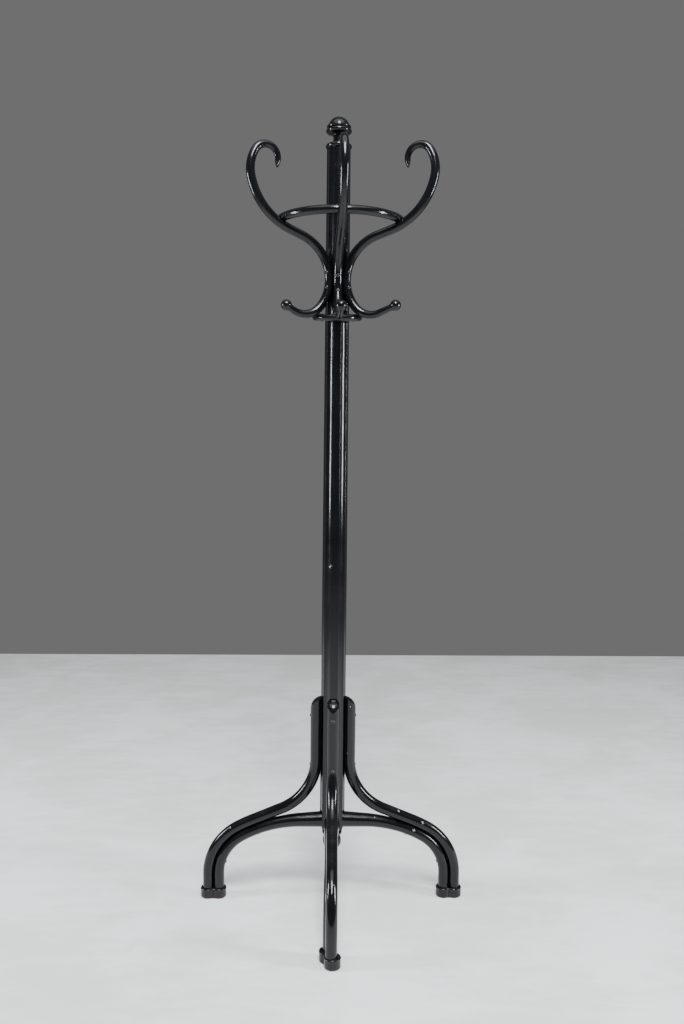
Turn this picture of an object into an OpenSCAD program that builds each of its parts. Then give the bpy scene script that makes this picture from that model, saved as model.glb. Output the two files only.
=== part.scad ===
// Bentwood hat and coat stand: a fluted post on three legs set in a T, with three S-shaped hooks,
// an upper and a lower half ring, a turned finial and a turned pendant.
// Every bent rod follows a path of arcs and straights in one vertical plane of its own.

/* [Post] */
// Height of the whole stand
stand_h = 2000; // [1800:10:2100]
// Height of the post's lower end above the floor
post_z = 190; // [180:1:200]
// Radius of the post at its lower end
post_r = 32.5; // [32:0.5:34]
// Radius of the post at its upper end
post_top_r = 29.2; // [28.5:0.1:30]
// Number of flutes round the post
flutes = 10; // [10]
// Depth of a flute below the ridges
flute_depth = 3; // [2.8:0.1:3.2]

/* [Hooks] */
// Diameter of a hook rod between its waist and its scroll
hook_d = 22; // [20:1:23]
// Diameter of a hook rod behind its ball
hook_ball_end_d = 16; // [14:1:18]
// Diameter of a hook rod at the tip of its scroll
hook_tip_d = 13; // [11:1:15]
// Height of the waist of the side hooks, where they touch the post
waist_z = 1599; // [1540:1:1610]
// How much lower the front hook sits than the side hooks
front_drop = 8; // [7:1:10]
// Diameter of the ball on the lower end of a hook
ball_d = 27; // [25:1:30]

/* [Rings] */
// Radius of the upper ring's centre line
upper_ring_r = 156; // [155:0.5:157]
// How far the upper ring sits off the post's axis, towards the right hook
upper_ring_x = 5.5; // [4:0.5:7]
// Diameter of the upper ring's rod
upper_ring_d = 21; // [18:1:22]
// Height of the upper ring
upper_ring_z = 1741; // [1738:1:1744]
// Radius of the lower ring's centre line
lower_ring_r = 56; // [55:0.5:57]
// Diameter of the lower ring's rod
lower_ring_d = 17; // [16:0.5:18]
// Height of the lower ring
lower_ring_z = 1507; // [1506:0.5:1508]
// Forward tilt of the lower ring, in degrees, so that it meets the lower front hook
lower_ring_tilt = 8; // [7:0.5:9]

/* [Legs and arches] */
// Diameter of a leg at the foot
leg_d = 28; // [27:1:30]
// Diameter of a leg at its top
leg_top_d = 32; // [30:1:34]
// Distance from the post's axis to a leg's outer side at the top
leg_out = 59; // [58:0.5:60]
// Height where a leg's outer side turns into its rounded top
leg_top_z = 508; // [490:1:520]
// Slope of a leg's straight middle, in degrees below the horizontal
leg_slope = 22; // [20:1:24]
// Diameter of an arch at the foot
arch_d = 28; // [26:1:29]
// Diameter of an arch where it meets the post
arch_root_d = 43; // [38:1:44]
// Distance from the post's axis to the inner side of an arch at the foot
arch_reach = 283.5; // [270:0.5:290]

/* [Feet] */
// Diameter of each of the two lobes of a foot shoe
shoe_d = 40; // [39:1:42]
// Height of a foot shoe
shoe_h = 26; // [24:1:30]
// Direction in which the front shoe points, in degrees round from the front
front_shoe_turn = 24; // [12:1:28]

/* [Hidden] */
$fn = 64;
EPS = 0.02;
LACQUER = "#15161a";
WORN = "#2a1c1b";
WOOD = "#c9a574";
SCREW = "#222326";

LEFT = 0;
FRONT = 1;
RIGHT = 2;
SIDES = [LEFT, FRONT, RIGHT];
// Directions of the three legs, in degrees round the post from the front
LEG_DIRS = [-90, -1.3, 90];
// Directions of the three arches; the front pair is bent a little out of one plane
ARCH_DIRS = [-90, -2.5, 90];

// ---- Post ----
finial_h = 77;
finial_bead_r = 5.4;
finial_dome_r = 27;
finial_collar_r = post_top_r - 2;
post_top_z = stand_h - finial_h;
post_h = post_top_z - post_z;
post_taper = atan((post_r - post_top_r) / post_h);
ridge_half_angle = 1.5;
flute_half_angle = 180 / flutes - ridge_half_angle;
flute_half_w = post_r * sin(flute_half_angle);
flute_sag = flute_depth - post_r * (1 - cos(flute_half_angle));
flute_r = (flute_half_w ^ 2 + flute_sag ^ 2) / (2 * flute_sag);
function post_radius(z) = post_r - (z - post_z) * tan(post_taper);

// ---- Legs, arches and shoes, seen in one vertical plane: u outwards from the axis, z up ----
arch_corner_r = 101.8;
arch_crown_r = 302;
arch_crown_turn = 29;
shoe_floor = 5;
shoe_bead_r = 3;
shoe_foot_r = 4;
shoe_band_in = 0.5;
socket_slot = 12;
straight_foot = 63;
arch_u = arch_reach + arch_d / 2;
leg_u = arch_u + (arch_d + leg_d) / 2;
leg_top_u = leg_out - leg_top_d / 2;
// A leg lies on its arch from the foot up to where it leaves it at leg_slope
leg_gap = arch_d + leg_d / 2;
leg_corner_r = arch_corner_r + leg_gap;
leg_crown_r = arch_crown_r + leg_gap;
leg_crown_turn = arch_crown_turn - leg_slope;
leg_high_r = 144;
leg_turn = 90 - leg_slope;
LEG_FOOT = [[-leg_crown_r, leg_crown_turn], [-leg_corner_r, 90 - arch_crown_turn],
    [0, straight_foot - shoe_floor]];
leg_run_end = path_start([leg_u, shoe_floor], LEG_FOOT);
leg_run = (leg_run_end.x - leg_top_u - leg_high_r * (1 - cos(leg_turn))) / sin(leg_turn);
leg_bend_z = leg_run_end.y + leg_run * cos(leg_turn) + leg_high_r * sin(leg_turn);
leg_cap_r = 33;
leg_cap_u = leg_top_u + leg_top_d / 2 - leg_cap_r;
leg_straight = leg_top_z + leg_cap_r - leg_bend_z;
LEG = concat([[0, leg_straight], [leg_high_r, leg_turn], [0, leg_run]], LEG_FOOT);
arch_flat_u = arch_reach - arch_corner_r * (1 - sin(arch_crown_turn))
    - arch_crown_r * sin(arch_crown_turn);
arch_z = straight_foot + arch_corner_r * cos(arch_crown_turn)
    + arch_crown_r * (1 - cos(arch_crown_turn));
ARCH_SIDE = [[0, arch_flat_u], [-arch_crown_r, arch_crown_turn],
    [-arch_corner_r, 90 - arch_crown_turn], [0, straight_foot - shoe_floor]];
arch_taper_end = 207;
tenon_d = 22;
tenon_root_u = 14;
tenon_z = arch_z + arch_root_d / 2;

// ---- Hooks, in one vertical plane: u outwards from the waist, z up from the waist ----
// Directions of the left, front and right hook, in degrees round the post from the front
hook_dirs = [-70, 2.5, 70];
// Extra opening of the left, front and right hook, in degrees, because each was bent by hand
hook_spreads = [-1.8, -5.5, 1.8];
// Angle of the J-bend of the left, front and right hook
jay_angles = [80, 66, 71];
// Straight run behind the ball of the left, front and right hook
ball_runs = [7.5, 28, 30.5];
hook_r = hook_d / 2;
// Share of a rod's full thickness left at the root of its scroll and at the end of its J-bend
scroll_root_share = 0.91;
jay_end_share = 0.8;
hook_sink = 1.5;
seat_r = post_radius(waist_z) - flute_depth + hook_r - hook_sink;
// Half angle of the bend in the post's cut for a hook
SEAT_TURN = 22;
SHOULDER_TURN = 70.5;
FLANK_TURN = 59.5;
function upper_path(i) = [[-110, SHOULDER_TURN + hook_spreads[i]], [0, 37],
    [156, FLANK_TURN + hook_spreads[i]]];
SCROLL = [[86, 43], [30, 186]];
SCARF_ANGLE = 35;
WAIST = [[102, 41.5]];
function jay_path(i) = [[53, jay_angles[i]], [0, ball_runs[i]]];
function waist_height(i) = i == FRONT ? waist_z - front_drop : waist_z;
function seat_dir(i) = (i - 1) * 360 / flutes;
ball_pin_d = 8;
ball_pin_l = 10;

// ---- Screws ----
screw_d = 5;
screw_head_d = 10;
screw_head_h = 3;
spot_d = screw_head_d + 0.4;
LEG_SCREW_Z = [490, 359];
leg_screw_l = 44;
HOOK_SCREW_DZ = [18, -18];
hook_spot_depth = 0.3;
leg_spot_depth = 0.9;
arch_spot_depth = 1;
hook_screw_l = 34;
// Distances along an arch's underside
ARCH_SCREW_S = [197, 314];
arch_screw_l = 44;
ring_screw_l = 27;
ring_head_sink = 0.8;

// ================= Paths =================
// A path is a list of [r, a]: an arc of radius |r| turning left (r > 0) or right (r < 0) through
// a degrees, or [0, l], a straight of length l. Headings: 0 points outwards and 90 points up.
function seg_length(s) = s[0] == 0 ? s[1] : abs(s[0]) * s[1] * PI / 180;
function seg_heading(h, s) = s[0] == 0 ? h : h + sign(s[0]) * s[1];
function seg_end(p, h, s) =
    let (g = seg_heading(h, s))
    s[0] == 0 ? p + s[1] * [cos(h), sin(h)] : p + s[0] * [sin(g) - sin(h), cos(h) - cos(g)];
function part_of(s, d) = s[0] == 0 ? [0, d] : [s[0], d / abs(s[0]) * 180 / PI];
function path_length(path, i = 0) = i >= len(path) ? 0 : seg_length(path[i]) + path_length(path, i + 1);
// Point and heading at a distance along a path
function along(p, h, path, d, i = 0) =
    i >= len(path) - 1 || d <= seg_length(path[i])
        ? [seg_end(p, h, part_of(path[i], d)), seg_heading(h, part_of(path[i], d))]
        : along(seg_end(p, h, path[i]), seg_heading(h, path[i]), path, d - seg_length(path[i]), i + 1);
function path_end(p, h, path) = along(p, h, path, path_length(path));
// Start point of a path that ends at a point with the heading straight down
function path_turn(path, i = 0) = i >= len(path) ? 0
    : (path[i][0] == 0 ? 0 : sign(path[i][0]) * path[i][1]) + path_turn(path, i + 1);
function path_start(end, path) = end - path_end([0, 0], 270 - path_turn(path), path)[0];

// One straight or one arc of round rod
module bend(p, h, r, a, d) {
    translate([p.x - r * sin(h), 0, p.y + r * cos(h)]) rotate([90, 0, 0])
        rotate([0, 0, r > 0 ? h - 90 : h + 90 - a])
        rotate_extrude(angle = a, $fn = 96) translate([abs(r), 0]) circle(d = d);
}

// Tapered rod through rings; each ring is [u, z, heading, radius]
RING_SIDES = 20;
module ring_sweep(rings) {
    n = len(rings);
    points = [for (q = rings) for (k = [0 : RING_SIDES - 1])
        let (t = 360 * k / RING_SIDES)
        [q[0] - q[3] * cos(t) * sin(q[2]), q[3] * sin(t), q[1] + q[3] * cos(t) * cos(q[2])]];
    walls = [for (j = [0 : n - 2]) for (k = [0 : RING_SIDES - 1])
        let (a = j * RING_SIDES + k, b = j * RING_SIDES + (k + 1) % RING_SIDES)
        [a, b, b + RING_SIDES, a + RING_SIDES]];
    first = [for (k = [RING_SIDES - 1 : -1 : 0]) k];
    last = [for (k = [0 : RING_SIDES - 1]) (n - 1) * RING_SIDES + k];
    polyhedron(points = points, faces = concat([first], walls, [last]), convexity = 6);
}

// Rings along one straight or arc, an arc in steps of about BEND_STEP degrees, with the radius
// going evenly from r1 to r2; the ring at the start is left out
BEND_STEP = 7;
function seg_rings(p, h, s, r1, r2) =
    let (n = s[0] == 0 ? 1 : ceil(s[1] / BEND_STEP))
    [for (k = [1 : n])
        let (t = [s[0], s[1] * k / n], e = seg_end(p, h, t))
        [e.x, e.y, seg_heading(h, t), r1 + (r2 - r1) * k / n]];
// Rings along a path; radii holds the radius at each joint
function path_rings(p, h, path, radii, i = 0) = i >= len(path) ? []
    : concat(seg_rings(p, h, path[i], radii[i], radii[i + 1]),
        path_rings(seg_end(p, h, path[i]), seg_heading(h, path[i]), path, radii, i + 1));
function start_ring(p, h, r) = [[p.x, p.y, h, r]];
// The same rings walked the other way
function reversed(rings) =
    [for (k = [len(rings) - 1 : -1 : 0]) [rings[k][0], rings[k][1], rings[k][2] + 180, rings[k][3]]];

// ================= Placing =================
// The origin is the centre of the footprint, so the post stands behind it
function plan_dir(a) = [cos(a - 90), sin(a - 90)];
function leg_foot(i) = leg_u * plan_dir(LEG_DIRS[i]);
function arch_foot(i) = arch_u * plan_dir(ARCH_DIRS[i]);
function shoe_middle(i) = (leg_foot(i) + arch_foot(i)) / 2;
lobe_gap = (leg_u - arch_u) / 2;
reach = leg_u + shoe_d / 2;
front_reach = -shoe_middle(FRONT).y + lobe_gap * cos(front_shoe_turn) + shoe_d / 2;
back_reach = max(post_r, finial_collar_r + finial_bead_r);
axis_y = (front_reach - back_reach) / 2;
module stand() {
    translate([0, axis_y, 0]) children();
}
// Turns a plane drawn along +X so that it points in a direction measured from the front
module facing(dir) {
    rotate([0, 0, dir - 90]) children();
}
// Moves a hook's own plane to its seat on the post
module at_seat(i) {
    facing(seat_dir(i)) translate([seat_r, 0, waist_height(i)])
        rotate([0, 0, hook_dirs[i] - seat_dir(i)]) children();
}

// Domed screw along +X: the head's underside is at x = 0 and the shank runs to x = -l
module screw(l) {
    head_r = (screw_head_d ^ 2 / 4 + screw_head_h ^ 2) / (2 * screw_head_h);
    rotate([0, 90, 0]) {
        translate([0, 0, -l]) cylinder(d = screw_d, h = l + 1);
        difference() {
            translate([0, 0, screw_head_h - head_r]) sphere(r = head_r);
            translate([0, 0, -2 * head_r]) cylinder(r = 2 * head_r, h = 2 * head_r);
        }
    }
}
// Hole for a screw's shank, and a flat spot cut for its head
module screw_hole(l) {
    rotate([0, 90, 0]) {
        translate([0, 0, -l]) cylinder(d = screw_d, h = l + 1);
        cylinder(d = spot_d, h = 30);
    }
}

// ================= Post, finial and pendant =================
finial_dowel_d = 14;
finial_dowel_l = 60;
pendant_dowel_l = 44;

module post_blank() {
    difference() {
        translate([0, 0, post_z]) cylinder(h = post_h, r1 = post_r, r2 = post_top_r);
        for (k = [0 : flutes - 1]) rotate([0, 0, 90 + 360 * k / flutes])
            translate([post_r - flute_depth + flute_r, 0, post_z]) rotate([0, -post_taper, 0])
            translate([0, 0, -20]) cylinder(r = flute_r, h = post_h + 40, $fn = 96);
    }
}

module post() {
    color(LACQUER) stand() difference() {
        post_blank();
        for (i = SIDES) {
            facing(LEG_DIRS[i]) {
                leg_seat();
                leg_screw_places() screw_hole(leg_screw_l);
            }
            facing(ARCH_DIRS[i]) tenon();
        }
        for (i = SIDES) {
            at_seat(i) hook_waist();
            hook_screw_places(i) screw_hole(hook_screw_l);
        }
        translate([0, 0, post_top_z - finial_dowel_l / 2])
            cylinder(d = finial_dowel_d, h = finial_dowel_l);
        translate([0, 0, post_z - pendant_dowel_l / 2])
            cylinder(d = finial_dowel_d, h = pendant_dowel_l);
    }
}

// Turned finial, from its foot up: a collar, a thin neck, two beads and a dome
module finial() {
    collar_r = finial_collar_r;
    disc_r = post_top_r - 2.6;
    color(LACQUER) stand() translate([0, 0, post_top_z]) difference() {
        union() {
            cylinder(h = 10.6, r = collar_r);
            translate([0, 0, finial_bead_r]) ring_of(collar_r, finial_bead_r);
            translate([0, 0, 10]) cylinder(h = 5.6, r1 = collar_r - 0.5, r2 = 14.8);
            translate([0, 0, 12]) cylinder(h = 30, r = 14.2);
            translate([0, 0, 31]) cylinder(h = 3.5, r1 = 14.2, r2 = 17.5);
            translate([0, 0, 34]) cylinder(h = 3, r1 = 17.5, r2 = disc_r - 0.5);
            translate([0, 0, 37]) cylinder(h = 19.8, r = disc_r);
            translate([0, 0, 42.5]) ring_of(disc_r, finial_bead_r);
            translate([0, 0, 52.5]) ring_of(disc_r - 0.4, 4);
            intersection() {
                translate([0, 0, finial_h - finial_dome_r]) sphere(r = finial_dome_r);
                translate([0, 0, 56]) cylinder(h = 30, r = disc_r + 5);
            }
        }
        translate([0, 0, -finial_dowel_l / 2]) cylinder(d = finial_dowel_d, h = finial_dowel_l);
    }
}
module ring_of(r, bead_r) {
    rotate_extrude() translate([r, 0]) circle(r = bead_r);
}

module finial_dowel() {
    color(WOOD) stand() translate([0, 0, post_top_z - finial_dowel_l / 2])
        cylinder(d = finial_dowel_d, h = finial_dowel_l);
}

// Turned drop: a bead under the post, a waist and a ball
pendant_ball_d = 49;
module pendant() {
    color(LACQUER) stand() translate([0, 0, post_z]) difference() {
        union() {
            translate([0, 0, -8]) cylinder(h = 8, r = 23);
            translate([0, 0, -13]) ring_of(19.5, 7);
            translate([0, 0, -19]) cylinder(h = 14, r = 19.5);
            translate([0, 0, -26]) cylinder(h = 12, r = 17.6);
            translate([0, 0, -12.5 - pendant_ball_d / 2]) sphere(d = pendant_ball_d);
        }
        translate([0, 0, -pendant_dowel_l / 2]) cylinder(d = finial_dowel_d, h = pendant_dowel_l);
    }
}

module pendant_dowel() {
    color(WOOD) stand() translate([0, 0, post_z - pendant_dowel_l / 2])
        cylinder(d = finial_dowel_d, h = pendant_dowel_l);
}

// ================= Hooks and rings =================
// The rod of a hook is one piece: from the ball up past the waist and round the scroll
module hook_rod(i) {
    r = hook_r;
    up = path_rings([0, 0], 90, concat(upper_path(i), SCROLL),
        [r, r, r, r, r * scroll_root_share, hook_tip_d / 2]);
    tip = path_end([0, 0], 90, concat(upper_path(i), SCROLL));
    down = path_rings([0, 0], 270, concat(WAIST, jay_path(i)),
        [r, r, r * jay_end_share, hook_ball_end_d / 2]);
    difference() {
        ring_sweep(concat(reversed(down), start_ring([0, 0], 90, r), up));
        scarf(tip, hook_tip_d / 2);
    }
}
// Slanting cut across the end of a scroll, which leaves a thin edge on its outer side
module scarf(q, r) {
    edge = q[0] + r * [sin(q[1]), -cos(q[1])];
    translate([edge.x, 0, edge.y]) rotate([0, SCARF_ANGLE - 90 - q[1], 0])
        translate([0, -2 * r, -r]) cube([2 * r, 4 * r, 5 * r]);
}
// The cut for the part of a hook that lies in its flute
module hook_waist() {
    r = -upper_path(FRONT)[0][0];
    bend([r * (1 - cos(SEAT_TURN)), -r * sin(SEAT_TURN)], 90 + SEAT_TURN, -r, 2 * SEAT_TURN, hook_d);
}
module hook_screw_places(i) {
    facing(seat_dir(i)) for (dz = HOOK_SCREW_DZ)
        translate([seat_r + hook_r + hook_spot_depth, 0, waist_height(i) + dz]) children();
}
function ball_place(i) =
    let (q = path_end([0, 0], 270, WAIST))
    path_end(q[0], q[1], jay_path(i));
module at_ball(i) {
    q = ball_place(i);
    at_seat(i) translate([q[0].x, 0, q[0].y]) rotate([0, 90 - q[1], 0]) children();
}

module hook(i) {
    color(LACQUER) stand() difference() {
        union() {
            at_seat(i) hook_rod(i);
            at_ball(i) translate([0, 0, -2]) cylinder(d = ball_pin_d, h = ball_pin_l + 2);
        }
        hook_screw_places(i) screw_hole(hook_screw_l);
        ring_screw_places(i) screw_hole(ring_screw_l);
    }
}

// Ball with a small turned collar where the rod enters
module ball(i) {
    color(LACQUER) stand() at_ball(i) difference() {
        union() {
            translate([0, 0, ball_d / 2]) sphere(d = ball_d);
            cylinder(h = 5, d = hook_ball_end_d + 1.5);
        }
        translate([0, 0, -1]) cylinder(d = ball_pin_d, h = ball_pin_l + 1);
    }
}

// Bent arc of a ring, open towards the back; half_span is the angle from the front to each end
module ring_arc(r, d, half_span) {
    rotate([0, 0, -90 - half_span]) rotate_extrude(angle = 2 * half_span, $fn = 96)
        translate([r, 0]) circle(d = d);
}
upper_half_span = 66;
lower_half_span = 76;
tilt_y = -43;

module place_upper() {
    translate([upper_ring_x, 0, upper_ring_z]) children();
}
module place_lower() {
    translate([0, tilt_y, lower_ring_z]) rotate([lower_ring_tilt, 0, 0])
        translate([0, -tilt_y, 0]) children();
}

// Where a hook's own plane crosses a ring, as [u, z] from the waist
function crossing_u(i, r, ring_x) =
    let (s = seat_r * plan_dir(seat_dir(i)) - [ring_x, 0], e = plan_dir(hook_dirs[i]), k = s * e)
    sqrt(k * k - s * s + r * r) - k;
function upper_crossing(i) =
    [crossing_u(i, upper_ring_r, upper_ring_x), upper_ring_z - waist_height(i)];
function lower_crossing(i) =
    let (u = crossing_u(i, lower_ring_r, 0))
    let (p = seat_r * plan_dir(seat_dir(i)) + u * plan_dir(hook_dirs[i]))
    [u, lower_ring_z + (p.y - tilt_y) * tan(lower_ring_tilt) - waist_height(i)];
// Centre of a bend of radius r that starts at a path's end
function bend_centre(q, r) = q[0] + r * [-sin(q[1]), cos(q[1])];
function flank_start(i) = path_end([0, 0], 90, [upper_path(i)[0], upper_path(i)[1]]);
function flank_centre(i) = bend_centre(flank_start(i), upper_path(i)[2][0]);
function jay_centre(i) = bend_centre(path_end([0, 0], 270, WAIST), jay_path(i)[0][0]);

// Screws go through the rings square to the touching rods: the upper ring's from its inner side
// outwards, the lower ring's from below upwards
module ring_screw_places(i) {
    p = upper_crossing(i);
    v = p - flank_centre(i);
    at_seat(i) translate([p.x, 0, p.y]) rotate([0, 180 - atan2(v.y, v.x), 0])
        translate([upper_ring_d / 2 - ring_head_sink, 0, 0]) children();
    q = lower_crossing(i);
    w = q - jay_centre(i);
    at_seat(i) translate([q.x, 0, q.y]) rotate([0, -atan2(w.y, w.x), 0])
        translate([lower_ring_d / 2 - ring_head_sink, 0, 0]) children();
}

module upper_ring() {
    color(LACQUER) stand() difference() {
        place_upper() ring_arc(upper_ring_r, upper_ring_d, upper_half_span);
        for (i = SIDES) {
            q = flank_start(i);
            at_seat(i) bend(q[0], q[1], upper_path(i)[2][0], upper_path(i)[2][1], hook_d);
            ring_screw_places(i) screw_hole(ring_screw_l);
        }
    }
}

module lower_ring() {
    color(LACQUER) stand() difference() {
        place_lower() ring_arc(lower_ring_r, lower_ring_d, lower_half_span);
        for (i = SIDES) {
            q = path_end([0, 0], 270, WAIST);
            at_seat(i) bend(q[0], q[1], jay_path(i)[0][0], jay_path(i)[0][1], hook_d);
            ring_screw_places(i) screw_hole(ring_screw_l);
        }
    }
}

// ================= Legs, arches and shoes =================
module leg_rod() {
    r = leg_d / 2;
    top = leg_top_d / 2;
    p = [leg_top_u, leg_top_z + leg_cap_r];
    ring_sweep(concat(start_ring(p, 270, top),
        path_rings(p, 270, LEG, [top, top, r + 0.5, r, r, r, r])));
}
// The part of a leg that lies against the post
module leg_seat() {
    translate([leg_top_u, 0, leg_bend_z]) cylinder(d = leg_top_d, h = leg_straight);
    bend([leg_top_u, leg_bend_z], 270, leg_high_r, 30, leg_top_d);
}
// The leg's top is rounded over, sloping away from the post
module leg_cap() {
    translate([0, -leg_top_d, 0]) cube([2 * reach, 2 * leg_top_d, leg_top_z]);
    translate([leg_cap_u, 0, leg_top_z]) sphere(r = leg_cap_r);
}
module leg_screw_places() {
    for (z = LEG_SCREW_Z) translate([leg_out - leg_spot_depth, 0, z]) children();
}
module arch_screw_places() {
    for (s = ARCH_SCREW_S) {
        q = along([0, arch_z], 0, ARCH_SIDE, s);
        translate([q[0].x, 0, q[0].y]) rotate([0, 90 - q[1], 0])
            translate([-arch_spot_depth, 0, 0]) children();
    }
}

module leg(i) {
    color(LACQUER) stand() difference() {
        facing(LEG_DIRS[i]) intersection() {
            leg_rod();
            leg_cap();
        }
        facing(LEG_DIRS[i]) leg_screw_places() screw_hole(leg_screw_l);
        facing(ARCH_DIRS[i]) arch_screw_places() screw_hole(arch_screw_l);
    }
}

// Diameter of an arch at a distance along its underside
function arch_diameter(s) =
    s >= arch_taper_end ? arch_d : arch_d + (arch_root_d - arch_d) * (1 - s / arch_taper_end) ^ 1.3;
ARCH_STEPS = [for (s = [12 : 15.5 : 198]) s,
    for (f = [1 : 11]) 198 + f * (path_length(ARCH_SIDE) - 198) / 11];
module arch_sweep() {
    ring_sweep([for (s = ARCH_STEPS)
        let (q = along([0, arch_z], 0, ARCH_SIDE, s), r = arch_diameter(s) / 2)
        [q[0].x - r * sin(q[1]), q[0].y + r * cos(q[1]), q[1], r - EPS]]);
}
module tenon() {
    translate([tenon_root_u, 0, tenon_z]) rotate([0, 90, 0]) cylinder(d = tenon_d, h = 40);
}
module arch(i) {
    color(LACQUER) stand() difference() {
        union() {
            difference() {
                facing(ARCH_DIRS[i]) arch_sweep();
                translate([0, 0, post_z - 10]) cylinder(h = 100, r = post_r);
                facing(LEG_DIRS[i]) leg_seat();
            }
            facing(ARCH_DIRS[i]) tenon();
        }
        facing(ARCH_DIRS[i]) arch_screw_places() screw_hole(arch_screw_l);
    }
}

// One lobe of a shoe, turned with a bead round its top edge
shoe_r = shoe_d / 2;
shoe_web_w = shoe_d - 10;
module lobe() {
    rotate_extrude() union() {
        square([shoe_r - shoe_foot_r, shoe_h]);
        translate([0, shoe_foot_r])
            square([shoe_r - shoe_band_in, shoe_h - shoe_foot_r - shoe_bead_r - 1]);
        translate([shoe_r - shoe_foot_r - 1, shoe_foot_r]) circle(r = shoe_foot_r);
        translate([shoe_r - shoe_bead_r, shoe_h - shoe_bead_r]) circle(r = shoe_bead_r);
    }
}
module shoe(i) {
    outer = leg_foot(i);
    inner = arch_foot(i);
    middle = shoe_middle(i);
    pair = outer - inner;
    color(WORN) stand() difference() {
        translate([middle.x, middle.y, 0]) facing(i == FRONT ? front_shoe_turn : LEG_DIRS[i]) {
            for (x = [-lobe_gap, lobe_gap]) translate([x, 0, 0]) lobe();
            translate([-lobe_gap, -shoe_web_w / 2, 0]) cube([2 * lobe_gap, shoe_web_w, shoe_h]);
        }
        translate([outer.x, outer.y, shoe_floor]) cylinder(d = leg_d, h = shoe_h);
        translate([inner.x, inner.y, shoe_floor]) cylinder(d = arch_d, h = shoe_h);
        translate([inner.x, inner.y, shoe_floor]) rotate([0, 0, atan2(pair.y, pair.x)])
            translate([0, -socket_slot / 2, 0]) cube([norm(pair), socket_slot, shoe_h]);
    }
}

// ================= Screws =================
module hook_screws() {
    color(SCREW) stand() for (i = SIDES) hook_screw_places(i) screw(hook_screw_l);
}
module ring_screws() {
    color(SCREW) stand() for (i = SIDES) ring_screw_places(i) screw(ring_screw_l);
}
module leg_screws() {
    color(SCREW) stand() for (i = SIDES) facing(LEG_DIRS[i])
        leg_screw_places() screw(leg_screw_l);
}
module arch_screws() {
    color(SCREW) stand() for (i = SIDES) facing(ARCH_DIRS[i])
        arch_screw_places() screw(arch_screw_l);
}

post();
finial();
finial_dowel();
pendant();
pendant_dowel();
hook(LEFT);  // hook_left
hook(FRONT);  // hook_front
hook(RIGHT);  // hook_right
ball(LEFT);  // ball_left
ball(FRONT);  // ball_front
ball(RIGHT);  // ball_right
upper_ring();
lower_ring();
leg(LEFT);  // leg_left
leg(FRONT);  // leg_front
leg(RIGHT);  // leg_right
arch(LEFT);  // arch_left
arch(FRONT);  // arch_front
arch(RIGHT);  // arch_right
shoe(LEFT);  // shoe_left
shoe(FRONT);  // shoe_front
shoe(RIGHT);  // shoe_right
hook_screws();
ring_screws();
leg_screws();
arch_screws();
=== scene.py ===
"""The looks of the bentwood hat and coat stand: smooth bent rods, lacquer, floor, light, camera."""
import math

import bmesh
import bpy
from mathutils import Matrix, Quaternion, Vector


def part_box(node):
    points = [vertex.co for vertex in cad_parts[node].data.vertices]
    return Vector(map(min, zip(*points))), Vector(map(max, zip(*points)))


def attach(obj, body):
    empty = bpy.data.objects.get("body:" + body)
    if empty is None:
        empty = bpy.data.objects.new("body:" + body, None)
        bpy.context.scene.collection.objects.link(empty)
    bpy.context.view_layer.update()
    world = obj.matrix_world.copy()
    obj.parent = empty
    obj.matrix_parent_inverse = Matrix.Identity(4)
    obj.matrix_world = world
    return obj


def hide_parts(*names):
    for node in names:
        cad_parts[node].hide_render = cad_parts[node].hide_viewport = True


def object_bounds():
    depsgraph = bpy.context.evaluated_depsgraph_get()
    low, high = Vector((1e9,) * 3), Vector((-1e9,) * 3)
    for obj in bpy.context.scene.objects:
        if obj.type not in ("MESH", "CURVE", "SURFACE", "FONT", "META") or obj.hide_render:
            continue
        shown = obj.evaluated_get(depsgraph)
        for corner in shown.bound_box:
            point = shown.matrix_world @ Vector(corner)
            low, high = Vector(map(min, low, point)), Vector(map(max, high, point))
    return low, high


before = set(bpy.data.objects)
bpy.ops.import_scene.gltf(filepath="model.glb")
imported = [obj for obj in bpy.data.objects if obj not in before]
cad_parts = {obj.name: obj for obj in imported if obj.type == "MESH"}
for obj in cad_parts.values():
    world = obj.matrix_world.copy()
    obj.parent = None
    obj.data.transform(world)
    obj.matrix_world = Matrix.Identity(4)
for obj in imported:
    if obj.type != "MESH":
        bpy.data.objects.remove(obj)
cad_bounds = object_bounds()
MM = 0.001


# ---------------------------------------------------------------- where things are
def box_centre(node):
    low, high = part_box(node)
    return [(a + b) / 2 for a, b in zip(low, high)]


POST_LOW, POST_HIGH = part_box("post")
AXIS_X = (POST_LOW[0] + POST_HIGH[0]) / 2
AXIS_Y = (POST_LOW[1] + POST_HIGH[1]) / 2
HEIGHT = cad_bounds[1][2]


# ---------------------------------------------------------------- paths in one upright plane
def seg_end(p, h, seg, share=1.0):
    """Point and heading at a share of the way along one straight [0, length] or arc [radius, degrees]."""
    r, a = seg[0], seg[1] * share
    if r == 0:
        return (p[0] + a * math.cos(math.radians(h)), p[1] + a * math.sin(math.radians(h))), h
    g = h + math.copysign(a, r)
    s0, s1 = math.sin(math.radians(h)), math.sin(math.radians(g))
    c0, c1 = math.cos(math.radians(h)), math.cos(math.radians(g))
    return (p[0] + r * (s1 - s0), p[1] + r * (c0 - c1)), g


def seg_length(seg):
    return seg[1] if seg[0] == 0 else abs(seg[0]) * math.radians(seg[1])


def rings_along(p, h, path, radii, step=4.0):
    """Rings (u, z, heading, radius) every few millimetres; radii holds the radius at each joint."""
    rings = [(p[0], p[1], h, radii[0])]
    for seg, r0, r1 in zip(path, radii, radii[1:]):
        n = max(1, int(math.ceil(seg_length(seg) / step)))
        for k in range(1, n + 1):
            q, g = seg_end(p, h, seg, k / n)
            rings.append((q[0], q[1], g, r0 + (r1 - r0) * k / n))
        p, h = seg_end(p, h, seg)
    return rings


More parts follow.
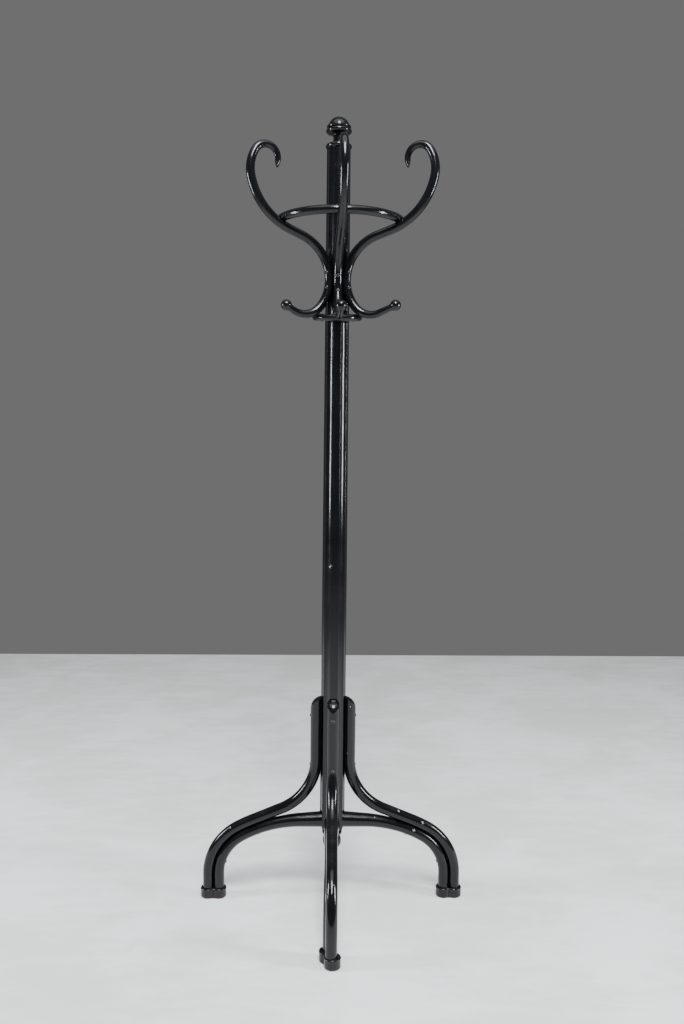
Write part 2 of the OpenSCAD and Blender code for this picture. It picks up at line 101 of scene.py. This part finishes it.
def eased(rings, reach=14):
    """Smooths the radii along a rod so that no taper starts with a corner."""
    out = []
    for i, ring in enumerate(rings):
        m = min(i, len(rings) - 1 - i, reach)
        near = [rings[j][3] for j in range(i - m, i + m + 1)]
        out.append((ring[0], ring[1], ring[2], sum(near) / len(near)))
    return out


def reversed_rings(rings):
    return [(u, z, h + 180, r) for u, z, h, r in reversed(rings)]


SIDES = 40  # round a rod


def sweep(name, rings):
    """A round rod through the rings, in millimetres in its own plane (x outwards, z up), with its
    length and its way round kept as UV."""
    verts, faces, uvs = [], [], []
    along, last = [], None
    total = 0.0
    for u, z, h, r in rings:
        if last is not None:
            total += math.hypot(u - last[0], z - last[1])
        last = (u, z)
        along.append(total)
        for k in range(SIDES):
            t = 2 * math.pi * k / SIDES
            verts.append(((u - r * math.cos(t) * math.sin(math.radians(h))) * MM, r * math.sin(t) * MM,
                          (z + r * math.cos(t) * math.cos(math.radians(h))) * MM))
    for j in range(len(rings) - 1):
        for k in range(SIDES):
            n = (k + 1) % SIDES
            faces.append((j * SIDES + k, j * SIDES + n, (j + 1) * SIDES + n, (j + 1) * SIDES + k))
            uvs += [(k / SIDES, along[j] * MM), ((k + 1) / SIDES, along[j] * MM),
                    ((k + 1) / SIDES, along[j + 1] * MM), (k / SIDES, along[j + 1] * MM)]
    faces.append(tuple(reversed(range(SIDES))))
    uvs += [(k / SIDES, 0) for k in reversed(range(SIDES))]
    start = (len(rings) - 1) * SIDES
    faces.append(tuple(start + k for k in range(SIDES)))
    uvs += [(k / SIDES, total * MM) for k in range(SIDES)]
    mesh = bpy.data.meshes.new(name)
    mesh.from_pydata(verts, [], faces)
    layer = mesh.uv_layers.new(name="rod")
    for loop, uv in zip(layer.data, uvs):
        loop.uv = uv
    for poly in mesh.polygons:
        poly.use_smooth = len(poly.vertices) == 4
    mesh.update()
    obj = bpy.data.objects.new(name, mesh)
    bpy.context.scene.collection.objects.link(obj)
    return obj


def turn(obj, direction):
    """Turns a rod drawn along +x to a direction in degrees from the front, into its vertices."""
    a = math.radians(direction - 90)
    c, s = math.cos(a), math.sin(a)
    for v in obj.data.vertices:
        x, y, z = v.co
        v.co = (c * x - s * y, s * x + c * y, z)


TIP_SLANT = 55.0  # steep enough for the cut to come out on the inner side of the curl
TIP_REACH = 27.0


def slant_tip(obj, ring):
    """Cuts the last end of a rod off at a slant, leaving a thin edge on the outer side of its curl."""
    u, z, h, r = ring
    h = math.radians(h)
    edge = ((u + r * math.sin(h)) * MM, 0.0, (z - r * math.cos(h)) * MM)
    away = h + math.radians(90 - TIP_SLANT)
    solid = bmesh.new()
    solid.from_mesh(obj.data)
    close = [v for v in solid.verts if math.hypot(v.co.x - u * MM, v.co.z - z * MM) < TIP_REACH * MM]
    kept = set(close)
    edges = [e for e in solid.edges if all(v in kept for v in e.verts)]
    faces = [f for f in solid.faces if all(v in kept for v in f.verts)]
    cut = bmesh.ops.bisect_plane(solid, geom=close + edges + faces, dist=1e-7, plane_co=edge,
                                 plane_no=(math.cos(away), 0.0, math.sin(away)), clear_outer=True)
    rim = [e for e in cut["geom_cut"] if isinstance(e, bmesh.types.BMEdge)]
    for e in rim:
        e.smooth = False
    bmesh.ops.edgeloop_fill(solid, edges=rim)
    solid.to_mesh(obj.data)
    solid.free()


def settle(obj, node):
    """Moves a piece's vertices so that its box is centred on a CAD node's box."""
    low = [min(v.co[i] for v in obj.data.vertices) for i in range(3)]
    high = [max(v.co[i] for v in obj.data.vertices) for i in range(3)]
    mid = box_centre(node)
    for v in obj.data.vertices:
        v.co = [v.co[i] + mid[i] - (low[i] + high[i]) / 2 for i in range(3)]


# ---------------------------------------------------------------- the bent rods
HOOKS = {
    "left": dict(direction=-70, spread=-1.8, jay=80, run=7.5),
    "front": dict(direction=2.5, spread=-5.5, jay=66, run=28),
    "right": dict(direction=70, spread=1.8, jay=71, run=30.5),
}


HOOK_R = 11.0
SCROLL_ROOT_R = HOOK_R * 0.91
SCROLL_TIP_R = 6.5
JAY_END_R = HOOK_R * 0.8
BALL_END_R = 8.0
SCROLL = [[86, 43], [30, 186]]
WAIST = [102, 41.5]
JAY_BEND = 53
HOOK_STEP = 3.0


def hook_rings(spread, jay, run):
    """From the ball's end up past the waist, where the path starts, and round the scroll."""
    r = HOOK_R
    rise = [[-110, 70.5 + spread], [0, 37], [156, 59.5 + spread]]
    up = rings_along((0, 0), 90, rise + SCROLL, [r, r, r, r, SCROLL_ROOT_R, SCROLL_TIP_R], HOOK_STEP)
    down = rings_along((0, 0), 270, [WAIST, [JAY_BEND, jay], [0, run]], [r, r, JAY_END_R, BALL_END_R],
                       HOOK_STEP)
    return reversed_rings(down)[:-1] + up


ROD_EASE = 10
rods = {}
for side, shape in HOOKS.items():
    rings = eased(hook_rings(shape["spread"], shape["jay"], shape["run"]), ROD_EASE)
    hook = sweep("hook_" + side + "_rod", rings)
    slant_tip(hook, rings[-1])
    turn(hook, shape["direction"])
    settle(hook, "hook_" + side)
    rods["hook_" + side] = hook

ARCH_SIDE = [[0, 84.7], [-302, 29], [-101.8, 61], [0, 58]]
LEG_FOOT = [[-344, 7], [-143.8, 61], [0, 58]]
LEG_LEAN = 68
LEG_BEND_R = 144
LEG_U = 43.0
LEG_TOP_Z = 541.0
LEG_END = (325.5, 5.0)
LEG_RADII = [16, 16, 14.5, 14, 14, 14, 14]
ROD_STEP = 4.0


def leg_rings():
    """The slanting run is as long as it must be for the leg to start beside the post and end at its foot."""
    p, h = (0.0, 0.0), 270.0 + LEG_LEAN
    for seg in LEG_FOOT:
        p, h = seg_end(p, h, seg)
    start = (LEG_END[0] - p[0], LEG_END[1] - p[1])
    sine, cosine = math.sin(math.radians(LEG_LEAN)), math.cos(math.radians(LEG_LEAN))
    run = (start[0] - LEG_U - LEG_BEND_R * (1 - cosine)) / sine
    bend_z = start[1] + run * cosine + LEG_BEND_R * sine
    path = [[0, LEG_TOP_Z - bend_z], [LEG_BEND_R, LEG_LEAN], [0, run]] + LEG_FOOT
    return rings_along((LEG_U, LEG_TOP_Z), 270, path, LEG_RADII, ROD_STEP)


CAP_U, CAP_Z, CAP_R = 26.0, 508.0, 33.0
LID_SHARES = (0.04, 0.18, 0.36, 0.54, 0.7, 0.82, 0.91, 0.96, 0.985)


def round_top(obj):
    """Trims a leg's upper end to a rounded, sloping top, by lowering each column of vertices onto it."""
    for v in obj.data.vertices:
        u, y, z = (c / MM for c in v.co)
        inside = CAP_R ** 2 - (u - CAP_U) ** 2 - y ** 2
        top = CAP_Z + math.sqrt(max(0.0, inside))
        if z > top - 0.01:
            v.co.z = top * MM


def capped_leg(name):
    """A leg whose upper end is closed by rings, so that it has vertices for the rounded top."""
    body = eased(leg_rings(), ROD_EASE)
    u, z, h, r = body[0]
    obj = sweep(name, [(u, z, h, r * share) for share in LID_SHARES] + body)
    round_top(obj)
    return obj


ARCH_Z = 189.9
ARCH_D = 28
ARCH_ROOT_EXTRA_D = 15
ARCH_TAPER = 207.0
ARCH_START_U = 12
ARCH_EASE = 6


def arch_rings():
    """The arch follows its upper side, so its thick root grows downwards only."""
    rings = []
    line = rings_along((0.0, ARCH_Z), 0, ARCH_SIDE, [0] * (len(ARCH_SIDE) + 1), ROD_STEP)
    travelled, last = 0.0, None
    for u, z, h, _ in line:
        if last is not None:
            travelled += math.hypot(u - last[0], z - last[1])
        last = (u, z)
        grow = max(0.0, 1 - travelled / ARCH_TAPER) ** 1.3
        r = (ARCH_D + ARCH_ROOT_EXTRA_D * grow) / 2
        if u >= ARCH_START_U:
            rings.append((u - r * math.sin(math.radians(h)), z + r * math.cos(math.radians(h)), h, r))
    return eased(rings, ARCH_EASE)


def to_axis(obj):
    """Moves a piece drawn round the origin to the post's axis, in its vertices."""
    for v in obj.data.vertices:
        v.co.x += AXIS_X
        v.co.y += AXIS_Y


# (leg, arch) in degrees from the front: the front pair is bent a little out of one plane
LEG_DIRECTIONS = {"left": (-90, -90), "front": (-1.3, -2.5), "right": (90, 90)}
for side, (leg_direction, arch_direction) in LEG_DIRECTIONS.items():
    for kind, rod, direction in (("leg_", capped_leg("leg_" + side + "_rod"), leg_direction),
                                 ("arch_", sweep("arch_" + side + "_rod", arch_rings()), arch_direction)):
        turn(rod, direction)
        to_axis(rod)
        rods[kind + side] = rod


# ---------------------------------------------------------------- materials
class Paint:
    """A node material, built step by step."""

    def __init__(self, name):
        self.mat = bpy.data.materials.new(name)
        self.mat.use_nodes = True
        self.tree = self.mat.node_tree
        self.tree.nodes.clear()
        self.place = self.add("ShaderNodeTexCoord").outputs["Object"]
        self.normal = self.add("ShaderNodeNewGeometry").outputs["Normal"]

    def add(self, kind, **values):
        node = self.tree.nodes.new(kind)
        for key, value in values.items():
            setattr(node, key, value)
        return node

    def feed(self, socket, value):
        if isinstance(value, bpy.types.NodeSocket):
            self.tree.links.new(value, socket)
        elif hasattr(value, "__len__") and socket.type == "RGBA" and len(value) == 3:
            socket.default_value = (*value, 1.0)
        else:
            socket.default_value = value

    def math(self, op, *values, clamp=False):
        node = self.add("ShaderNodeMath", operation=op, use_clamp=clamp)
        for socket, value in zip(node.inputs, values):
            self.feed(socket, value)
        return node.outputs[0]

    def noise(self, vector, scale, detail=4.0, rough=0.55, distort=0.0):
        node = self.add("ShaderNodeTexNoise")
        self.feed(node.inputs["Vector"], vector)
        node.inputs["Scale"].default_value = scale
        node.inputs["Detail"].default_value = detail
        node.inputs["Roughness"].default_value = rough
        node.inputs["Distortion"].default_value = distort
        return node.outputs["Fac"]

    def cells(self, vector, scale):
        node = self.add("ShaderNodeTexVoronoi")
        self.feed(node.inputs["Vector"], vector)
        node.inputs["Scale"].default_value = scale
        return node.outputs["Distance"]

    def stretch(self, vector, scale, offset=(0, 0, 0)):
        node = self.add("ShaderNodeMapping")
        self.feed(node.inputs["Vector"], vector)
        node.inputs["Scale"].default_value = scale
        node.inputs["Location"].default_value = offset
        return node.outputs["Vector"]

    def split(self, vector):
        node = self.add("ShaderNodeSeparateXYZ")
        self.feed(node.inputs[0], vector)
        return node.outputs

    def band(self, value, low, high):
        """0 below low and 1 above high, smooth between."""
        node = self.add("ShaderNodeMapRange", interpolation_type="SMOOTHSTEP")
        self.feed(node.inputs["Value"], value)
        node.inputs["From Min"].default_value = low
        node.inputs["From Max"].default_value = high
        return node.outputs["Result"]

    def mix(self, share, a, b):
        node = self.add("ShaderNodeMix", data_type="RGBA")
        sockets = {socket.identifier: socket for socket in node.inputs}
        self.feed(sockets["Factor_Float"], share)
        self.feed(sockets["A_Color"], a)
        self.feed(sockets["B_Color"], b)
        return [o for o in node.outputs if o.identifier == "Result_Color"][0]

    def near(self, point, radius, wobble):
        """1 within a blob round a point, with a ragged edge."""
        node = self.add("ShaderNodeVectorMath", operation="DISTANCE")
        self.feed(node.inputs[0], self.place)
        node.inputs[1].default_value = point
        ragged = self.math("MULTIPLY_ADD", wobble, radius * 5.0,
                           self.math("SUBTRACT", node.outputs["Value"], radius * 2.5))
        return self.math("SUBTRACT", 1.0, self.band(ragged, radius * 0.5, radius * 0.9))

    def bump(self, height, distance, normal=None):
        node = self.add("ShaderNodeBump")
        self.feed(node.inputs["Height"], height)
        node.inputs["Strength"].default_value = 1.0
        node.inputs["Distance"].default_value = distance
        if normal is not None:
            self.feed(node.inputs["Normal"], normal)
        return node.outputs["Normal"]

    def finish(self, **inputs):
        shader = self.add("ShaderNodeBsdfPrincipled")
        for key, value in inputs.items():
            self.feed(shader.inputs[key.replace("_", " ")], value)
        out = self.add("ShaderNodeOutputMaterial")
        self.tree.links.new(shader.outputs[0], out.inputs["Surface"])
        return self.mat


BLACK = (0.0022, 0.0022, 0.0028)
GREYED = (0.0060, 0.0060, 0.0075)
UNDERCOAT = (0.050, 0.014, 0.012)
BARE_WOOD = (0.36, 0.33, 0.29)
DUST = (0.11, 0.105, 0.10)
COAT = 0.22
FLUTES = 10.0


def lacquer(name, grain="z", wear_share=0.0, chips=(), rubs=(), ridge_wear=False, foot_wear=0.0,
            edge=0.0006, gloss=0.10, top_wear=0.0):
    """Old black lacquer: brushed on, glossy, a little wavy, dusty on top, chipped and worn through
    to a red-brown undercoat."""
    paint = Paint(name)
    place = paint.place
    if grain == "rod":
        uv = paint.add("ShaderNodeUVMap", uv_map="rod").outputs["UV"]
        streaks = paint.noise(paint.stretch(uv, (26.0, 16.0, 1.0)), 1.0, 5.0, 0.6)
        fine = paint.noise(paint.stretch(uv, (90.0, 30.0, 1.0)), 1.0, 3.0, 0.5)
    else:
        streaks = paint.noise(paint.stretch(place, (420.0, 420.0, 14.0)), 1.0, 5.0, 0.6)
        fine = paint.noise(paint.stretch(place, (900.0, 900.0, 40.0)), 1.0, 3.0, 0.5)
    blotch = paint.noise(place, 14.0, 5.0, 0.6)
    patch = paint.noise(place, 55.0, 6.0, 0.65, 0.6)
    peel = paint.noise(place, 420.0, 2.0, 0.5)
    grit = paint.noise(place, 1500.0, 2.0, 0.6)
    height = paint.split(place)[2]
    up = paint.split(paint.normal)[2]

    # dust settles on what faces up and in the corners of the brush marks
    dust = paint.math("MULTIPLY", paint.band(up, 0.25, 1.0), paint.band(blotch, 0.38, 0.72))
    dust = paint.math("MULTIPLY", dust, paint.band(grit, 0.30, 0.75))

    # rubbed-through places
    worn = paint.band(paint.math("ADD", patch, paint.math("MULTIPLY", blotch, 0.35)),
                      0.98 - wear_share, 1.03 - wear_share)
    if top_wear:
        rubbed = paint.math("MULTIPLY", paint.band(up, 0.55, 0.95),
                            paint.band(paint.math("ADD", patch, paint.math("MULTIPLY", streaks, 0.3)),
                                       0.86 - top_wear, 0.96 - top_wear))
        worn = paint.math("MAXIMUM", worn, rubbed)
    if foot_wear:
        low = paint.math("SUBTRACT", 1.0, paint.band(height, 0.004, 0.034))
        scuffs = paint.band(paint.math("ADD", patch, paint.math("MULTIPLY", low, 0.25)),
                            0.80 - foot_wear, 0.90 - foot_wear)
        worn = paint.math("MAXIMUM", worn, scuffs)
    if ridge_wear:
        x, y, _ = paint.split(place)
        angle = paint.math("ARCTAN2", paint.math("SUBTRACT", x, AXIS_X), paint.math("SUBTRACT", AXIS_Y, y))
        ridge = paint.math("COSINE", paint.math("MULTIPLY", angle, FLUTES))
        ridge = paint.math("SUBTRACT", 1.0, paint.band(ridge, -1.0, -0.965))
        patchy = paint.math("ADD", patch, paint.math("MULTIPLY", blotch, 0.4))
        rubbed = paint.math("MULTIPLY", ridge, paint.band(patchy, 0.76, 0.90))
        worn = paint.math("MAXIMUM", worn, rubbed)

    for spot, radius in rubs:
        worn = paint.math("MAXIMUM", worn, paint.near(spot, radius, patch))

    # chips down to the wood
    cells = paint.cells(paint.stretch(place, (1, 1, 0.7)), 45.0)
    flecks = paint.math("SUBTRACT", 1.0, paint.band(cells, 0.045, 0.075))
    chip = paint.math("MULTIPLY", flecks, paint.band(paint.noise(place, 9.0, 3.0), 0.60, 0.66))
    for spot, radius in chips:
        chip = paint.math("MAXIMUM", chip, paint.near(spot, radius, paint.noise(place, 260.0, 3.0)))

    colour = paint.mix(paint.math("MULTIPLY", blotch, 0.5), BLACK, GREYED)
    under = paint.mix(paint.band(streaks, 0.35, 0.65), UNDERCOAT, (0.030, 0.010, 0.009))
    colour = paint.mix(worn, colour, under)
    wood = paint.mix(paint.band(streaks, 0.35, 0.65), BARE_WOOD, (0.19, 0.16, 0.13))
    colour = paint.mix(chip, colour, wood)
    colour = paint.mix(paint.math("MULTIPLY", dust, 0.18), colour, DUST)

    rough = paint.math("MULTIPLY_ADD", paint.band(blotch, 0.3, 0.7), 0.10, gloss)
    rough = paint.math("MULTIPLY_ADD", fine, 0.05, rough)
    rough = paint.math("MULTIPLY_ADD", dust, 0.22, rough)
    rough = paint.math("MULTIPLY_ADD", worn, 0.26, rough)
    rough = paint.math("MULTIPLY_ADD", chip, 0.45, rough, clamp=True)
    bare = paint.math("MULTIPLY", paint.math("MAXIMUM", worn, chip), COAT)
    coat = paint.math("SUBTRACT", COAT, bare, clamp=True)

    relief = paint.math("MULTIPLY_ADD", streaks, 0.5, paint.math("MULTIPLY", peel, 0.10))
    relief = paint.math("MULTIPLY_ADD", blotch, 0.9, relief)
    relief = paint.math("SUBTRACT", relief, paint.math("MULTIPLY", worn, 0.22))
    relief = paint.math("SUBTRACT", relief, paint.math("MULTIPLY", chip, 1.1))
    rounded = None
    if edge:
        soft = paint.add("ShaderNodeBevel", samples=4)
        soft.inputs["Radius"].default_value = edge
        rounded = soft.outputs["Normal"]
    normal = paint.bump(relief, 0.00022, rounded)
    return paint.finish(Base_Color=colour, Roughness=rough, Normal=normal, Coat_Weight=coat,
                        Coat_Roughness=0.06, Coat_Normal=normal, Specular_IOR_Level=0.24)


def screw_paint():
    """Domed screw heads painted over with the rest, rubbed bright in places."""
    paint = Paint("painted_screw")
    patch = paint.noise(paint.place, 700.0, 4.0, 0.6)
    ring = paint.noise(paint.place, 2600.0, 2.0, 0.5)
    bare = paint.band(patch, 0.60, 0.70)
    colour = paint.mix(bare, (0.006, 0.006, 0.007), (0.16, 0.15, 0.14))
    rough = paint.math("MULTIPLY_ADD", patch, 0.25, 0.16)
    relief = paint.math("MULTIPLY_ADD", patch, 0.7, paint.math("MULTIPLY", ring, 0.3))
    return paint.finish(Base_Color=colour, Roughness=rough, Metallic=paint.math("MULTIPLY", bare, 0.9),
                        Normal=paint.bump(relief, 0.00025))


def beech(name):
    """Bare turned wood, for the dowels inside the joints."""
    paint = Paint(name)
    lines = paint.noise(paint.stretch(paint.place, (260.0, 260.0, 9.0)), 1.0, 6.0, 0.6)
    pores = paint.noise(paint.stretch(paint.place, (1400.0, 1400.0, 60.0)), 1.0, 3.0, 0.6)
    colour = paint.mix(paint.band(lines, 0.3, 0.7), (0.55, 0.37, 0.21), (0.40, 0.25, 0.13))
    colour = paint.mix(paint.band(pores, 0.6, 0.75), colour, (0.22, 0.13, 0.07))
    return paint.finish(Base_Color=colour, Roughness=paint.math("MULTIPLY_ADD", lines, 0.2, 0.5),
                        Normal=paint.bump(pores, 0.0002))


def on_post(share, out, direction):
    """A point at a share of the post's height, out from its axis, in degrees from the front."""
    z = POST_LOW[2] + (POST_HIGH[2] - POST_LOW[2]) * share
    a = math.radians(direction)
    return (AXIS_X + out * math.sin(a), AXIS_Y - out * math.cos(a), z)


def on_rod(rings, share, direction, lean):
    """A point on a rod's surface at a share of its rings; lean tips it from the upper side to the front."""
    u, z, h, r = rings[int(share * (len(rings) - 1))]
    a, lean, h = math.radians(direction - 90), math.radians(lean), math.radians(h)
    up = r * math.cos(lean) * (-1 if math.cos(h) < 0 else 1)
    across = r * math.sin(lean) * (-1 if direction > 0 else 1)
    x, y = (u - math.sin(h) * up) * MM, across * MM
    c, s = math.cos(a), math.sin(a)
    return (AXIS_X + c * x - s * y, AXIS_Y + s * x + c * y, (z + math.cos(h) * up) * MM)


def on_box(node, x_share, y_share, z_share):
    """A point at shares of the way across a node's box."""
    low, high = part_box(node)
    shares = (x_share, y_share, z_share)
    return tuple(a + (b - a) * share for a, b, share in zip(low, high, shares))


LEG_LINE, ARCH_LINE = leg_rings(), arch_rings()
LEG_CHIPS = [(on_rod(LEG_LINE, 0.56, 90, 35), 0.0028), (on_rod(LEG_LINE, 0.66, 90, 60), 0.0032),
             (on_rod(LEG_LINE, 0.22, 90, 70), 0.0022), (on_rod(LEG_LINE, 0.71, -90, 45), 0.0026),
             (on_rod(LEG_LINE, 0.74, -1.3, 10), 0.0024)]
ARCH_CHIPS = [(on_rod(ARCH_LINE, 0.24, 90, 40), 0.0024), (on_rod(ARCH_LINE, 0.50, 90, 60), 0.0030)]
# chips: a place and a radius
POST_CHIPS = [(on_post(0.4006, 0.0300, -23), 0.0040)]
lacquer_post = lacquer("lacquer_post", ridge_wear=True, chips=POST_CHIPS, edge=0.0008)
lacquer_turned = lacquer("lacquer_turned", wear_share=0.02, edge=0.0005)
lacquer_rods = lacquer("lacquer_rods", grain="rod", edge=0.0)
lacquer_legs = lacquer("lacquer_legs", grain="rod", wear_share=0.02, edge=0.0, foot_wear=0.02,
                       top_wear=0.02, chips=LEG_CHIPS)
lacquer_arches = lacquer("lacquer_arches", grain="rod", wear_share=0.03, edge=0.0, foot_wear=0.03,
                         top_wear=0.06, chips=ARCH_CHIPS)
SHOE_RUBS = [(on_box("shoe_right", 0.45, 0.02, 0.45), 0.008),
             (on_box("shoe_front", 0.12, 0.30, 0.35), 0.007),
             (on_box("shoe_left", 0.30, 0.04, 0.30), 0.005)]
lacquer_shoes = lacquer("lacquer_shoes", wear_share=0.05, rubs=SHOE_RUBS, edge=0.0007, foot_wear=0.05,
                        gloss=0.13)
lacquer_rings = lacquer("lacquer_rings", edge=0.0004)
painted_screws = screw_paint()
bare_beech = beech("bare_beech")


def give(obj, material):
    obj.data.materials.clear()
    obj.data.materials.append(material)


NODE_LOOKS = {
    "post": lacquer_post, "finial": lacquer_turned, "pendant": lacquer_turned,
    "ball_left": lacquer_turned, "ball_front": lacquer_turned, "ball_right": lacquer_turned,
    "upper_ring": lacquer_rings, "lower_ring": lacquer_rings,
    "shoe_left": lacquer_shoes, "shoe_front": lacquer_shoes, "shoe_right": lacquer_shoes,
    "hook_screws": painted_screws, "ring_screws": painted_screws,
    "leg_screws": painted_screws, "arch_screws": painted_screws,
    "finial_dowel": bare_beech, "pendant_dowel": bare_beech,
}
for node_name, look in NODE_LOOKS.items():
    give(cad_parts[node_name], look)

for node_name, rod in rods.items():
    kind = node_name.split("_")[0]
    give(rod, {"hook": lacquer_rods, "leg": lacquer_legs, "arch": lacquer_arches}[kind])
    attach(rod, "root")
    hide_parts(node_name)


# ---------------------------------------------------------------- floor, light and camera
def plaster(name, light, dark, rough, scale, contrast):
    """Pale, faintly mottled plaster."""
    paint = Paint(name)
    clouds = paint.noise(paint.place, scale, 6.0, 0.62, 0.4)
    trowel = paint.noise(paint.stretch(paint.place, (0.8, 2.6, 1.0)), scale * 3.0, 5.0, 0.6, 0.8)
    grains = paint.noise(paint.place, 60.0, 4.0, 0.6)
    share = paint.math("MULTIPLY_ADD", trowel, 0.35, paint.math("MULTIPLY", clouds, 0.65))
    colour = paint.mix(paint.band(share, 0.5 - contrast, 0.5 + contrast), dark, light)
    return paint.finish(Base_Color=colour, Roughness=paint.math("MULTIPLY_ADD", clouds, 0.1, rough),
                        Normal=paint.bump(grains, 0.0004))


def sheet(name, corners, material):
    mesh = bpy.data.meshes.new(name)
    mesh.from_pydata(corners, [], [(0, 1, 2, 3)])
    mesh.materials.append(material)
    obj = bpy.data.objects.new(name, mesh)
    bpy.context.scene.collection.objects.link(obj)


FLOOR_BACK = AXIS_Y + 2.62
FLOOR_REACH = 9
FLOOR = [(-FLOOR_REACH, -FLOOR_REACH, 0), (FLOOR_REACH, -FLOOR_REACH, 0),
         (FLOOR_REACH, FLOOR_BACK, 0), (-FLOOR_REACH, FLOOR_BACK, 0)]
sheet("floor", FLOOR, plaster("pale_floor", (0.90, 0.895, 0.885), (0.77, 0.76, 0.74), 0.6, 2.2, 0.10))


def soft_light(name, place, target, width, height, watts, colour):
    data = bpy.data.lights.new(name, "AREA")
    data.shape = "RECTANGLE"
    data.size = width
    data.size_y = height
    data.energy = watts
    data.color = colour
    obj = bpy.data.objects.new(name, data)
    obj.location = place
    obj.rotation_euler = (Vector(target) - Vector(place)).to_track_quat("-Z", "Y").to_euler()
    bpy.context.scene.collection.objects.link(obj)


def around(azimuth, distance, z):
    """A place at an azimuth in degrees from the front, at a distance from the post's axis."""
    a = math.radians(azimuth)
    return (AXIS_X + distance * math.sin(a), AXIS_Y - distance * math.cos(a), z)


MIDDLE = (AXIS_X, AXIS_Y, HEIGHT * 0.5)
UPPER = (AXIS_X, AXIS_Y, HEIGHT * 0.72)
soft_light("front_top", around(2, 2.1, 3.8), MIDDLE, 1.0, 1.5, 215, (0.95, 0.97, 1.0))
soft_light("window_left", around(-83, 2.9, 1.45), UPPER, 0.34, 1.3, 85, (0.88, 0.94, 1.0))
soft_light("window_right", around(72, 2.9, 1.50), UPPER, 0.34, 1.3, 95, (0.90, 0.95, 1.0))
soft_light("pale_roof", around(0, 1.3, 4.3), around(0, 0.9, 0), 4.0, 2.6, 75, (0.93, 0.96, 1.0))

world = bpy.data.worlds.new("studio")
world.use_nodes = True
background = world.node_tree.nodes["Background"]
background.inputs["Color"].default_value = (0.50, 0.498, 0.505, 1)
background.inputs["Strength"].default_value = 0.32
bpy.context.scene.world = world

CAMERA_BACK = 2.2949
CAMERA_SIDE = -0.0598
CAMERA_HEIGHT = 1.2174
CAMERA_PITCH = math.radians(4.87)
CAMERA_ROLL = math.radians(0.58)
camera_data = bpy.data.cameras.new("camera")
camera_data.sensor_fit = "VERTICAL"
camera_data.sensor_height = 36.0
camera_data.sensor_width = 24.05
camera_data.lens = 31.64
camera_data.shift_x = 0.00667
camera = bpy.data.objects.new("camera", camera_data)
camera.location = (AXIS_X + CAMERA_SIDE, AXIS_Y - CAMERA_BACK, CAMERA_HEIGHT)
level = math.cos(CAMERA_PITCH) / math.hypot(CAMERA_BACK, CAMERA_SIDE)
look = Vector((-CAMERA_SIDE * level, CAMERA_BACK * level, -math.sin(CAMERA_PITCH)))
camera.rotation_mode = "QUATERNION"
camera.rotation_quaternion = look.to_track_quat("-Z", "Y") @ Quaternion((0, 0, 1), CAMERA_ROLL)
bpy.context.scene.collection.objects.link(camera)
bpy.context.scene.camera = camera
